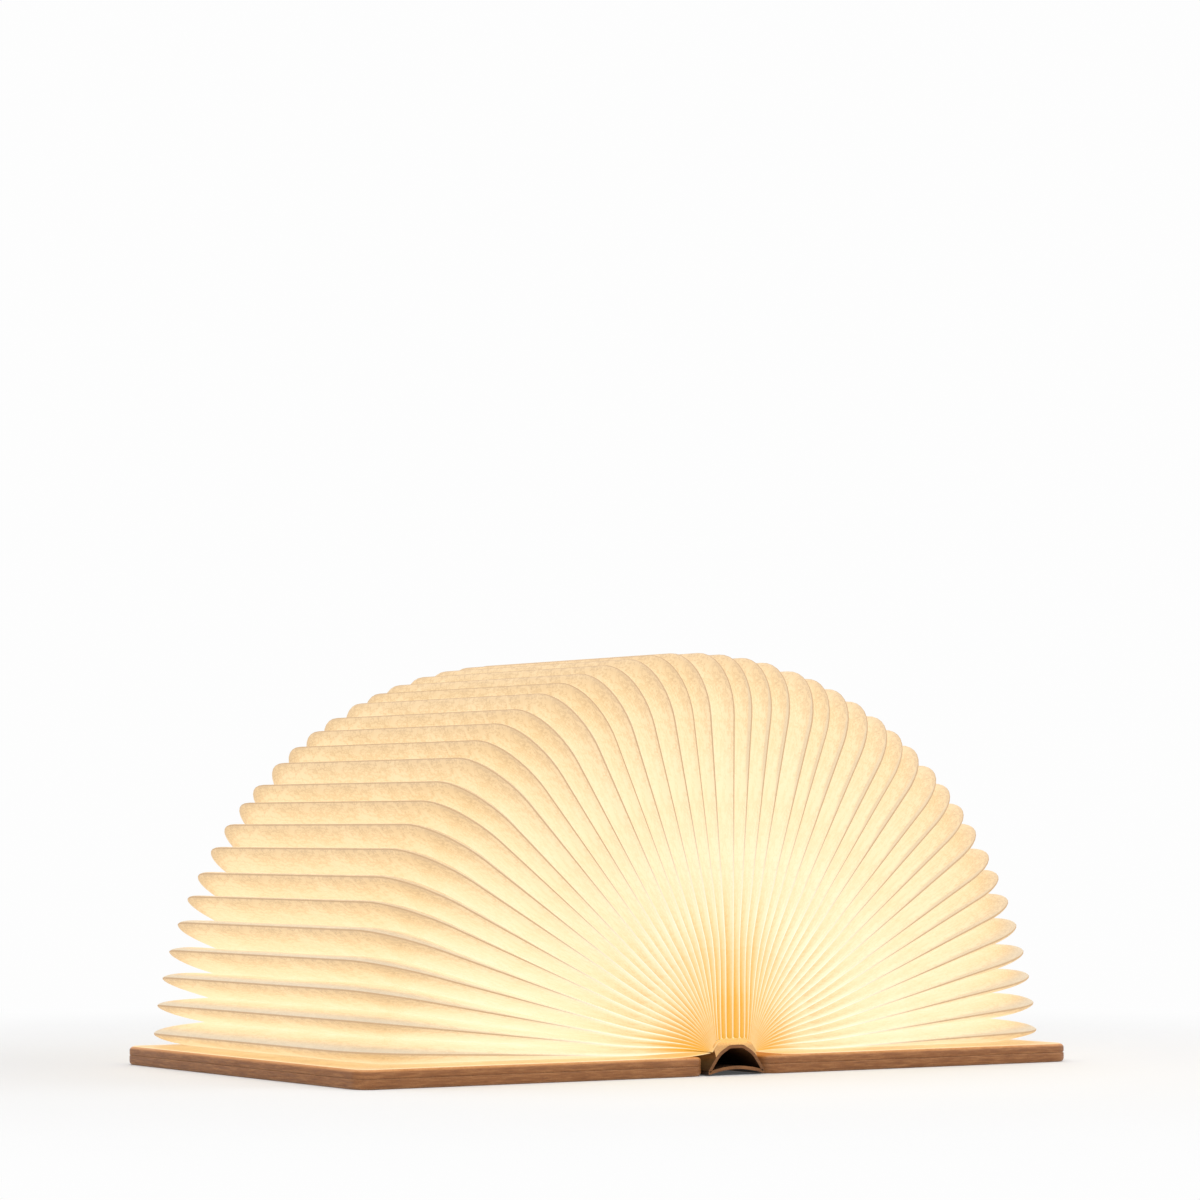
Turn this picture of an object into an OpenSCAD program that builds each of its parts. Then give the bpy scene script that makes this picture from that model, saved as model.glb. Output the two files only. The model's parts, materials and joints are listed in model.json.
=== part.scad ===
// Folding book lamp, opened flat: two wooden covers joined by a bent spine
// strip, a lit core on the strip, and a fan of pleated paper leaves that
// turns from one cover to the other. The spine runs along Y, the covers lie
// on the table and the fan stands up along Z.

/* [Covers] */
// Width of a cover, from its spine edge to its fore edge
cover_w = 170; // [150:1:190]
// Height of a cover along the spine
cover_h = 215; // [200:1:230]
// Thickness of the outer board of a cover
outer_ply = 4.2; // [3.5:0.1:5.5]
// Thickness of the inner board, which carries the first leaf
inner_ply = 3.8; // [3.2:0.1:4]
// Corner radius of the covers, seen from the front
cover_r = 7.5; // [5:0.5:12]
// Rounding of the outer and inner edges of a cover
edge_r = 1.6; // [0.8:0.1:1.8]
// Height and depth of the shadow groove between the two boards
groove = 0.4; // [0.3:0.1:0.8]

/* [Spine] */
// Clear distance between the covers, opened flat or closed
spine_gap = 30; // [28:1:34]
// Rise of the spine strip above the table when the lamp lies open
arch_rise = 13; // [12:0.5:14]
// Thickness of the spine strip
strip_t = 1.4; // [1:0.1:1.8]
// Width of the flat land on the strip that the core is glued to
land_w = 8; // [6:0.5:10]
// Slope of the arch's straight legs, from the table
leg_angle = 55; // [52:1:58]
// Rise of the low band that closes the arch below
band_rise = 2.3; // [1.5:0.1:3]

/* [Pages] */
// Number of leaves, an odd number, each one pleat of the fan
leaf_count = 45; // [31:2:45]
// Length of a leaf from its root to its fore edge
leaf_len = 167; // [150:1:168]
// Distance of the leaves inside the short edges of the covers
page_inset = 2.5; // [1:0.5:6]
// Depth of a pleat, from its ridge in to its valley
pleat_depth = 22; // [16:1:25]
// Corner radius of the ridges at the fore corners
page_r = 28; // [26:1:34]
// Thickness of the paper
paper_t = 0.3; // [0.28:0.01:0.34]

/* [Core] */
// Length of the housing between the two stacks of page roots
housing_l = 158; // [120:1:158]
// Width of the housing
housing_w = 24; // [22.4:0.2:26]
// Height of the housing up to the rim that the diffuser sits on
housing_h = 21.8; // [21.4:0.2:24]
// Wall thickness of the housing and the diffuser
wall = 1.6; // [1.2:0.1:1.8]
// Number of LEDs in the row
led_count = 12; // [6:1:16]
// Diameter of the battery cell
cell_d = 18.3; // [16:0.1:18.4]
// Length of the battery cell
cell_l = 65.2; // [50:0.2:70]

/* [Magnets] */
// Diameter of a cover magnet
magnet_d = 10; // [6:0.5:12]
// Thickness of a cover magnet
magnet_t = 2; // [1:0.25:2.5]

/* [Hidden] */
$fn = 96;
cover_t = outer_ply + inner_ply;
half_gap = spine_gap / 2;

// The leaves stand at equal steps about a line on the covers' inner faces.
fan_z = cover_t;
side_count = (leaf_count - 1) / 2;
pitch = 180 / leaf_count;
page_y = cover_h / 2 - page_inset;
// Half of the clear space kept between the valleys of two leaves
valley_gap = 0.06;

// The page roots lie on an ellipse over the arch. It is higher at the far
// end, where the charging socket is under them.
root_a = half_gap + 3.3;
root_near = arch_rise + 2.25;
root_far = arch_rise + 6.9;
// Drop of the outermost roots below the middle one in the closed book
root_drop = 2;

// The strip is one flat tube: a round arch on straight legs, and a low band
// that runs from foot to foot. Its hems stand against the covers' edges.
foot_x = half_gap - 0.1;
foot_z = 1.9;
arch_r = (foot_x * sin(leg_angle) - (arch_rise - foot_z) * cos(leg_angle))
         / (1 - cos(leg_angle));
leg_l = ((arch_rise - foot_z) * sin(leg_angle) - foot_x * (1 - cos(leg_angle)))
        / (1 - cos(leg_angle));
hem_z = 4.4;
band_z = 0.3;
band_r = (half_gap * half_gap + band_rise * band_rise) / (2 * band_rise);

rail_t = 1.6;
rail_w = 16;
block_w = 14;
block_h = 6.2;
rail_l = 2 * page_y + 1;
rim_z = arch_rise + rail_t + housing_h;
cell_z = arch_rise + rail_t + wall + cell_d / 2;
led_board_t = 1.6;
led_board_w = housing_w - 2 * wall - 2.4;
led_board_l = housing_l - 2 * wall - 4;
socket_w = 8.94;
socket_h = 3.26;
socket_l = 7.4;
socket_wall = 0.3;
socket_z = arch_rise + 3.7;
charge_w = 10;
charge_t = 1;
charge_l = 40;
charge_end = rail_l / 2 - socket_l;

function leaf_side(k) = k == 0 ? "mid" : k < 0 ? "l" : "r";
function leaf_name(k) =
    k == 0 ? "leaf_mid"
    : str("leaf_", leaf_side(k), abs(k) < 10 ? "0" : "", abs(k));

// Lean of leaf k from the vertical: negative to the left
function lean(k) = k * pitch;

// Distance from the fan's line to the root ellipse of height b, along leaf k
function root_r(k, b) =
    let (s = sin(lean(k)), c = cos(lean(k)),
         p = s * s / (root_a * root_a) + c * c / (b * b),
         q = fan_z * c / (b * b),
         m = fan_z * fan_z / (b * b) - 1)
    (-q + sqrt(q * q - p * m)) / p;

// The point of leaf k at distance r from the fan's line, n off the leaf's
// plane and y along the spine
function leaf_point(k, r, n, y) =
    [r * sin(lean(k)) + n * cos(lean(k)), y,
     fan_z + r * cos(lean(k)) - n * sin(lean(k))];

// The root of leaf k in the closed book, where the leaves stand side by side
function closed_root(k) =
    [k * spine_gap / leaf_count,
     root_near - root_drop * pow(k / max(side_count, 1), 2)];

// The hinge line of a piece that turns by the angle t, counted from +X
// towards +Z, while its point moves from p to q: the one line that stays put
function pole(p, q, t) =
    (p + q) / 2 + [-(q[1] - p[1]), q[0] - p[0]] / (2 * tan(t / 2));

function leaf_axis(k) =
    pole([root_r(k, root_near) * sin(lean(k)),
          fan_z + root_r(k, root_near) * cos(lean(k))],
         closed_root(k), lean(k));

function cover_axis(side) =
    pole([side * half_gap, cover_t], [side * half_gap, arch_rise], side * 90);

// Stations along a leaf: the ridge point and the valley point in its plane,
// as [r, y, r, y], from the near root round the two fore corners to the far
// root
corner_steps = 4;
root_steps = [0, 12, 40];
function leaf_path(k) =
    let (near = root_r(k, root_near), far = root_r(k, root_far),
         cr = near + leaf_len - page_r, cy = page_y - page_r,
         vr = page_r - pleat_depth, vy = page_y - pleat_depth)
    concat(
        [for (d = root_steps) [near + d, -page_y, near + d, -vy]],
        [for (i = [0:corner_steps]) let (a = 90 * i / corner_steps)
            [cr + page_r * sin(a), -cy - page_r * cos(a),
             cr + vr * sin(a), -cy - vr * cos(a)]],
        [for (i = [corner_steps:-1:0]) let (a = 90 * i / corner_steps)
            [cr + page_r * sin(a), cy + page_r * cos(a),
             cr + vr * sin(a), cy + vr * cos(a)]],
        [for (i = [2:-1:0]) let (d = root_steps[i])
            [far + d, page_y, far + d, vy]]);

// The six corners of the pleat at one station: ridge, valley and inside of
// one sheet, inside of the ridge, then the same of the other sheet. At its
// roots the pleat is glued shut, so there it is solid.
function pleat_section(k, s, glued) =
    let (w = s[2] * tan(pitch / 2) - valley_gap,
         t = glued ? 2 * w / 3 : paper_t, f = glued ? 1 : t / w,
         ar = s[0] + (s[2] - s[0]) * f, ay = s[1] + (s[3] - s[1]) * f)
    [leaf_point(k, s[0], 0, s[1]),
     leaf_point(k, s[2], w, s[3]), leaf_point(k, s[2], w - t, s[3]),
     leaf_point(k, ar, 0, ay),
     leaf_point(k, s[2], t - w, s[3]), leaf_point(k, s[2], -w, s[3])];

module leaf(k) {
    path = leaf_path(k);
    count = len(path);
    points = [for (i = [0:count - 1])
        each pleat_section(k, path[i], i == 0 || i == count - 1)];
    // Both walls of a sheet are split along the same diagonal, from the
    // valley towards the ridge further out, so that they keep their distance
    sides = [for (i = [0:count - 2], j = [0:5])
        let (a = 6 * i + j, b = 6 * i + (j + 1) % 6,
             turned = (j % 3 == 2) == (2 * i < count - 1))
        each turned ? [[a, b, b + 6], [a, b + 6, a + 6]]
                    : [[a, b, a + 6], [b, b + 6, a + 6]]];
    start = [[0, 5, 4], [0, 4, 3], [0, 3, 2], [0, 2, 1]];
    end = [for (f = start) [for (i = [2:-1:0]) f[i] + 6 * (count - 1)]];
    color("cornsilk") polyhedron(points, concat(sides, start, end), 10);
}

// A rectangle with round corners, its lower left corner at the origin
module outline(w, h, r) {
    translate([r, 0]) square([w - 2 * r, h]);
    translate([0, r]) square([w, h - 2 * r]);
    for (x = [r, w - r], y = [r, h - r]) translate([x, y]) circle(r);
}

// Section of a board's rim: r deep, t high, its lower outer edge rounded by e
module rim_section(t, r, e) {
    square([r - e, t]);
    translate([0, e]) square([r, t - e]);
    translate([r - e, e]) circle(e);
}

// A board whose lower edges are rounded by e all the way round: a slab, four
// straight rims and four turned corners
module round_edge_board(w, h, t, r, e) {
    translate([r, r, 0]) cube([w - 2 * r, h - 2 * r, t]);
    for (i = [0:3]) {
        long = i % 2 == 0 ? h - 2 * r : w - 2 * r;
        translate([i == 0 || i == 3 ? w - r : r, i < 2 ? h - r : r, 0])
            rotate([0, 0, 90 * i]) {
                rotate_extrude(angle = 90) rim_section(t, r, e);
                rotate([90, 0, 0]) linear_extrude(long) rim_section(t, r, e);
            }
    }
}

// Puts what is drawn for the right cover on the given side
module on_side(side) {
    if (side > 0) children(); else mirror([1, 0, 0]) children();
}

magnet_spots = [for (y = [-1, 1]) [half_gap + cover_w - 16, y * (cover_h / 2 - 24)]];

module outer_board(side) {
    on_side(side) color("saddlebrown")
        translate([half_gap, -cover_h / 2, 0])
            round_edge_board(cover_w, cover_h, outer_ply, cover_r, edge_r);
}

module inner_board(side) {
    on_side(side) color("peru") difference() {
        translate([half_gap, -cover_h / 2, 0]) {
            translate([0, cover_h, cover_t]) rotate([180, 0, 0])
                round_edge_board(cover_w, cover_h, inner_ply - groove, cover_r, edge_r);
            translate([groove, groove, outer_ply]) linear_extrude(groove + 1)
                outline(cover_w - 2 * groove, cover_h - 2 * groove, cover_r - groove);
        }
        for (p = magnet_spots) translate([p[0], p[1], outer_ply - 1])
            cylinder(h = magnet_t + 1, d = magnet_d + 0.2);
    }
}

module magnets(side) {
    on_side(side) color("silver")
        for (p = magnet_spots) translate([p[0], p[1], outer_ply])
            cylinder(h = magnet_t, d = magnet_d);
}

// A section drawn with X across and Y up, run along the spine from y0 to y1
module along_spine(y0, y1) {
    translate([0, y1, 0]) rotate([90, 0, 0]) linear_extrude(y1 - y0) children();
}

// Half of a ring that stands on its own centre, clipped to an angle on each
// side of the vertical
module ring_top(r, t, angle) {
    reach = 2 * r;
    intersection() {
        difference() {
            circle(r);
            circle(r - t);
        }
        polygon([[0, 0], [reach * sin(angle), reach * cos(angle)], [0, 4 * r],
                 [-reach * sin(angle), reach * cos(angle)]]);
    }
}

module spine_strip() {
    color("sienna") along_spine(-cover_h / 2, cover_h / 2) {
        translate([0, arch_rise - arch_r]) ring_top(arch_r, strip_t, leg_angle + 1);
        for (s = [0, 1]) mirror([s, 0]) {
            translate([arch_r * sin(leg_angle), arch_rise - arch_r * (1 - cos(leg_angle))])
                rotate(-leg_angle) translate([0, -strip_t]) square([leg_l, strip_t]);
            translate([half_gap - strip_t, band_z + 0.4])
                square([strip_t, hem_z - band_z - 0.4]);
        }
        translate([0, band_z + band_rise - band_r]) intersection() {
            difference() {
                circle(band_r + strip_t, $fn = 360);
                circle(band_r, $fn = 360);
            }
            translate([-half_gap, 0]) square([spine_gap, 2 * band_r]);
        }
        translate([-land_w / 2, arch_rise - strip_t]) square([land_w, strip_t]);
    }
}

// A low bar with a crowned top: h high in the middle, edge_h at its sides
module crowned(w, h, edge_h) {
    d = h - edge_h;
    r = (w * w / 4 + d * d) / (2 * d);
    translate([0, arch_rise]) intersection() {
        translate([0, h - r]) circle(r);
        translate([-w / 2, 0]) square([w, h]);
    }
}

module socket_outline(grow) {
    r = socket_h / 2 - grow;
    translate([0, socket_z]) {
        square([socket_w - socket_h, 2 * r], center = true);
        for (s = [-1, 1]) translate([s * (socket_w - socket_h) / 2, 0]) circle(r);
    }
}

module core_rail() {
    color("goldenrod") difference() {
        union() {
            along_spine(-rail_l / 2, -housing_l / 2) crowned(rail_w, rail_t + 0.35, 0.3);
            along_spine(-housing_l / 2 - 0.5, housing_l / 2 + 0.5)
                translate([-rail_w / 2, arch_rise]) square([rail_w, rail_t]);
            along_spine(housing_l / 2, rail_l / 2) crowned(block_w, block_h, 4.7);
        }
        // Seat of the charging socket and the slot for its board
        along_spine(charge_end, rail_l / 2 + 1) socket_outline(0);
        along_spine(housing_l / 2 - 1, charge_end + 1)
            translate([0, socket_z]) square([charge_w + 0.4, charge_t + 0.4], center = true);
    }
}

module core_housing() {
    z0 = arch_rise + rail_t;
    inner = housing_w - 2 * wall;
    ledge_z = rim_z - led_board_t;
    color("gainsboro") difference() {
        union() {
            difference() {
                along_spine(-housing_l / 2, housing_l / 2)
                    translate([-housing_w / 2, z0]) square([housing_w, housing_h]);
                along_spine(-housing_l / 2 + wall, housing_l / 2 - wall)
                    translate([-inner / 2, z0 + wall]) square([inner, housing_h]);
            }
            // Ledges under the LED board, and saddles that hold the cell
            for (s = [-1, 1])
                translate([s > 0 ? inner / 2 - 1.9 : -inner / 2, -housing_l / 2 + wall / 2, ledge_z - 1.2])
                    cube([1.9, housing_l - wall, 1.2]);
            for (y = [-58, -12])
                translate([-inner / 2, y, z0 + wall / 2]) cube([inner, 3, cell_d / 2]);
        }
        translate([0, -68, cell_z]) rotate([-90, 0, 0]) cylinder(h = cell_l + 2, d = cell_d + 0.1);
        // Way in for the charge board, through the far end wall
        translate([-charge_w / 2 - 0.2, housing_l / 2 - wall - 1, z0 + wall])
            cube([charge_w + 0.4, wall + 2, charge_t + 0.2]);
    }
}

module diffuser() {
    r = housing_w / 2;
    tongue = 0.9;
    color("ivory") {
        difference() {
            along_spine(-housing_l / 2, housing_l / 2) intersection() {
                translate([0, rim_z]) circle(r);
                translate([-r, rim_z]) square([2 * r, r]);
            }
            along_spine(-housing_l / 2 + wall, housing_l / 2 - wall)
                translate([0, rim_z]) circle(r - wall);
        }
        // Tongues that drop between the housing walls and the LED board
        for (s = [-1, 1])
            translate([s * (r - wall - 0.1 - tongue / 2) - tongue / 2,
                       -(housing_l - 2 * wall - 1) / 2, rim_z - led_board_t])
                cube([tongue, housing_l - 2 * wall - 1, led_board_t + 2.6]);
    }
}

module led_board() {
    color("white") translate([0, 0, rim_z - led_board_t / 2])
        cube([led_board_w, led_board_l, led_board_t], center = true);
}

module leds() {
    step = (led_board_l - 14) / (led_count - 1);
    color("khaki") for (i = [0:led_count - 1])
        translate([0, (i - (led_count - 1) / 2) * step, rim_z]) {
            translate([-1.75, -1.4, 0]) cube([3.5, 2.8, 0.6]);
            translate([0, 0, 0.6]) cylinder(h = 0.2, d = 2.4);
        }
}

module battery_cell() {
    color("steelblue") translate([0, -67, cell_z]) rotate([-90, 0, 0]) {
        cylinder(h = cell_l - 0.8, d = cell_d);
        translate([0, 0, cell_l - 0.81]) cylinder(h = 0.81, d = 6);
    }
}

module charge_board() {
    color("seagreen") {
        translate([-charge_w / 2, charge_end - charge_l, socket_z - charge_t / 2])
            cube([charge_w, charge_l, charge_t]);
        // Charger chip, coil, and the sensor that lights the lamp as it opens
        translate([-2.5, charge_end - charge_l + 4, socket_z]) cube([5, 5, 1.5]);
        translate([-2, charge_end - charge_l + 11, socket_z]) cube([4, 4, 2.2]);
        translate([-1.6, charge_end - charge_l + 17, socket_z]) cube([3.2, 1.6, 1.4]);
    }
}

module usb_socket() {
    color("silver") {
        along_spine(charge_end, rail_l / 2) difference() {
            socket_outline(0);
            socket_outline(socket_wall);
        }
        along_spine(charge_end, charge_end + 1) socket_outline(0);
        // Tongue that carries the contacts
        translate([-3.1, charge_end + 0.5, socket_z - 0.35]) cube([6.2, 5.4, 0.7]);
    }
}

outer_board(-1);  // left_outer_board
inner_board(-1);  // left_inner_board
magnets(-1);  // left_magnets
outer_board(1);  // right_outer_board
inner_board(1);  // right_inner_board
magnets(1);  // right_magnets
spine_strip();
core_rail();
core_housing();
diffuser();
led_board();
leds();
battery_cell();
charge_board();
usb_socket();
for (k = [-side_count:side_count])
    leaf(k);

// The hinge lines, as [name, x, z], for the record of the joints
echo(hinges = concat(
    [for (s = [-1, 1]) concat([s < 0 ? "left_cover" : "right_cover"], cover_axis(s))],
    [for (k = [-side_count:side_count]) if (k != 0) concat([leaf_name(k)], leaf_axis(k))]));
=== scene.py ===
"""Folding book lamp: the CAD frame dressed with boards, strip, lit pleats and core."""

import json
import logging
import math
from collections.abc import Callable, Sequence
from dataclasses import dataclass, field
from enum import Enum
from typing import ClassVar

import bpy
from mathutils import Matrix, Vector

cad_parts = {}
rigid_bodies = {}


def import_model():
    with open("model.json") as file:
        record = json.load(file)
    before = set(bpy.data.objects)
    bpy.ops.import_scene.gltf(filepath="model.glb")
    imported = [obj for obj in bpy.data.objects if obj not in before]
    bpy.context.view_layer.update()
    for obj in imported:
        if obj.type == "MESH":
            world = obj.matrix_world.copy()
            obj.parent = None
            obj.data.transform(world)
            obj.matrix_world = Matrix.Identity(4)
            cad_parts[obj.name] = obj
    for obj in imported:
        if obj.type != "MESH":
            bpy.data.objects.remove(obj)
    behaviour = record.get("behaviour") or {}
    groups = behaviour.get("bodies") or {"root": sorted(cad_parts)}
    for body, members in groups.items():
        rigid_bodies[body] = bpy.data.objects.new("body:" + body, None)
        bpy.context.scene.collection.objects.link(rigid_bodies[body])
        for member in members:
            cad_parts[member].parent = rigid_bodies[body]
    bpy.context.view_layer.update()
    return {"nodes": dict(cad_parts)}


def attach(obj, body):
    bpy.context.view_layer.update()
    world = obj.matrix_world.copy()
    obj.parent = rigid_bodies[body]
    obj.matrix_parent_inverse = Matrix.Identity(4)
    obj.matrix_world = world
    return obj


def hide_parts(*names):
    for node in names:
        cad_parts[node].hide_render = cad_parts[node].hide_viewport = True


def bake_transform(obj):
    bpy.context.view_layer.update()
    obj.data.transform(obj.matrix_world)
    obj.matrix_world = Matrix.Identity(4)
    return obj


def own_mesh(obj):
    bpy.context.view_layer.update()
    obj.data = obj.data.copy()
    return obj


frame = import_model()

log = logging.getLogger("book_lamp")
MM = 0.001
Point = tuple[float, float, float]
Path2D = list[tuple[float, float]]
Colour = tuple[float, float, float]


class Side(Enum):
    """The two halves of the book, by the sign of their X."""

    LEFT = -1
    RIGHT = 1

    @property
    def word(self) -> str:
        """The side's name as the CAD nodes spell it."""
        return self.name.lower()

    @property
    def cover(self) -> str:
        """The body that the side's cover rides on."""
        return f"{self.word}_cover"


def hue(red: int, green: int, blue: int) -> Colour:
    """Turn a screen colour of 0 to 255 into the linear colour that a shader takes.

    Args:
        red: Red of the screen colour.
        green: Green of the screen colour.
        blue: Blue of the screen colour.

    Returns:
        The linear colour.
    """
    parts = [c / 255 for c in (red, green, blue)]
    return tuple(
        p / 12.92 if p <= 0.04045 else ((p + 0.055) / 1.055) ** 2.4 for p in parts
    )


def smooth(low: float, high: float, value: float) -> float:
    """Return 0 at low, 1 at high and a smooth step between them.

    Args:
        low: Where the step starts.
        high: Where it ends, above or below low.
        value: The place on the step.

    Returns:
        The step's height.
    """
    t = min(1.0, max(0.0, (value - low) / (high - low)))
    return t * t * (3 - 2 * t)


# ---------------------------------------------------------------- shader graph


class Signal:
    """An output socket of a shader graph. Arithmetic on it adds Math nodes."""

    def __init__(self, graph: "Graph", socket: bpy.types.NodeSocket) -> None:
        """Wrap a socket of the graph."""
        self.graph = graph
        self.socket = socket

    def _math(self, operation: str, *values: "Signal | float") -> "Signal":
        """Add a Math node on these values and return its output."""
        inputs = dict(enumerate(values))
        return self.graph.add("ShaderNodeMath", {"operation": operation}, inputs)

    def __add__(self, other: "Signal | float") -> "Signal":
        """Sum."""
        return self._math("ADD", self, other)

    __radd__ = __add__

    def __sub__(self, other: "Signal | float") -> "Signal":
        """Difference."""
        return self._math("SUBTRACT", self, other)

    def __rsub__(self, other: float) -> "Signal":
        """Difference from a number."""
        return self._math("SUBTRACT", other, self)

    def __mul__(self, other: "Signal | float") -> "Signal":
        """Product."""
        return self._math("MULTIPLY", self, other)

    __rmul__ = __mul__

    def above(self, low: float, high: float) -> "Signal":
        """Return 0 below low, 1 above high and a smooth step between them."""
        return self.graph.add(
            "ShaderNodeMapRange",
            {"interpolation_type": "SMOOTHSTEP"},
            {"Value": self, "From Min": low, "From Max": high},
        )

    def size(self) -> "Signal":
        """Return the value without its sign."""
        return self._math("ABSOLUTE", self)


class Graph:
    """The node tree of one material, with one Principled shader at its end."""

    def __init__(self, name: str) -> None:
        """Start an empty tree.

        Args:
            name: The material's name.
        """
        self.material = bpy.data.materials.new(name)
        self.material.use_nodes = True
        self.tree = self.material.node_tree
        self.tree.nodes.clear()
        self.output = self.tree.nodes.new("ShaderNodeOutputMaterial")
        self.shader = self.tree.nodes.new("ShaderNodeBsdfPrincipled")
        self.tree.links.new(self.shader.outputs[0], self.output.inputs[0])

    def node(
        self,
        kind: str,
        settings: dict[str, object] | None = None,
        inputs: dict[str | int, object] | None = None,
    ) -> bpy.types.Node:
        """Add a node.

        Args:
            kind: The node's type.
            settings: Its settings, set first. "stops" gives a ramp's stops.
            inputs: A value or a Signal for each input socket, by name or number.

        Returns:
            The new node.
        """
        made = self.tree.nodes.new(kind)
        for key, value in (settings or {}).items():
            if key == "stops":
                ramp = made.color_ramp.elements
                while len(ramp) < len(value):
                    ramp.new(0.5)
                for stop, (place, colour) in zip(ramp, value):
                    stop.position = place
                    stop.color = (*colour, 1.0)
            else:
                setattr(made, key, value)
        for key, value in (inputs or {}).items():
            self.feed(made.inputs[key], value)
        return made

    def feed(self, socket: bpy.types.NodeSocket, value: object) -> None:
        """Set a socket's value, or link a Signal to it."""
        if isinstance(value, Signal):
            self.tree.links.new(value.socket, socket)
        elif socket.type == "RGBA" and len(value) == 3:
            socket.default_value = (*value, 1.0)
        else:
            socket.default_value = value

    def add(
        self,
        kind: str,
        settings: dict[str, object] | None = None,
        inputs: dict[str | int, object] | None = None,
        output: str | int = 0,
    ) -> Signal:
        """Add a node as node does, and return one of its outputs."""
        return Signal(self, self.node(kind, settings, inputs).outputs[output])

    def place(self) -> Signal:
        """Return the point's place on the object, in metres."""
        return self.add("ShaderNodeTexCoord", output="Object")

    def facing(self, axis: str) -> Signal:
        """Return how far the surface faces along its own X, Y or Z, from -1 to 1."""
        return self.part(self.add("ShaderNodeTexCoord", output="Normal"), axis)

    def part(self, vector: Signal, axis: str) -> Signal:
        """Return the X, Y or Z of a vector."""
        return self.add("ShaderNodeSeparateXYZ", None, {0: vector}, axis)

    def attribute(self, name: str) -> Signal:
        """Return a number that the mesh holds at each point."""
        return self.add("ShaderNodeAttribute", {"attribute_name": name}, None, "Fac")

    def stretched(
        self, vector: Signal, scale: Point, shift: Point = (0, 0, 0)
    ) -> Signal:
        """Return a vector scaled along each axis, then moved."""
        inputs = {"Vector": vector, "Scale": scale, "Location": shift}
        return self.add("ShaderNodeMapping", None, inputs)

    def noise(
        self, vector: Signal, scale: float, detail: float = 3.0, rough: float = 0.5
    ) -> Signal:
        """Return a noise from 0 to 1.

        Args:
            vector: Where the noise is read.
            scale: Its grains to a metre.
            detail: How many finer layers it has.
            rough: How strong the finer layers are.

        Returns:
            The noise.
        """
        return self.add(
            "ShaderNodeTexNoise",
            None,
            {"Vector": vector, "Scale": scale, "Detail": detail, "Roughness": rough},
            "Fac",
        )

    def mix(
        self,
        first: object,
        second: object,
        share: Signal | float,
        way: str = "MIX",
    ) -> Signal:
        """Mix two colours.

        Args:
            first: Colour at share 0.
            second: Colour at share 1.
            share: How much of the second colour shows.
            way: The mix's blend type.

        Returns:
            The mixed colour.
        """
        return self.add(
            "ShaderNodeMix",
            {"data_type": "RGBA", "blend_type": way},
            {0: share, 6: first, 7: second},
            2,
        )

    def ramp(self, value: Signal, stops: list[tuple[float, Colour]]) -> Signal:
        """Return the colour that the ramp has at the value."""
        return self.add("ShaderNodeValToRGB", {"stops": stops}, {0: value})

    def bump(self, height: Signal, depth: float, strength: float) -> Signal:
        """Return a normal bent by a height, whose full step is depth metres."""
        inputs = {"Height": height, "Distance": depth, "Strength": strength}
        return self.add("ShaderNodeBump", None, inputs)

    def finish(self, **inputs: object) -> bpy.types.Material:
        """Feed the shader, by socket names with _ for a space.

        Args:
            **inputs: A value or a Signal for each socket.

        Returns:
            The material.
        """
        for key, value in inputs.items():
            self.feed(self.shader.inputs[key.replace("_", " ")], value)
        return self.material


# -------------------------------------------------------------------- finishes


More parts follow.
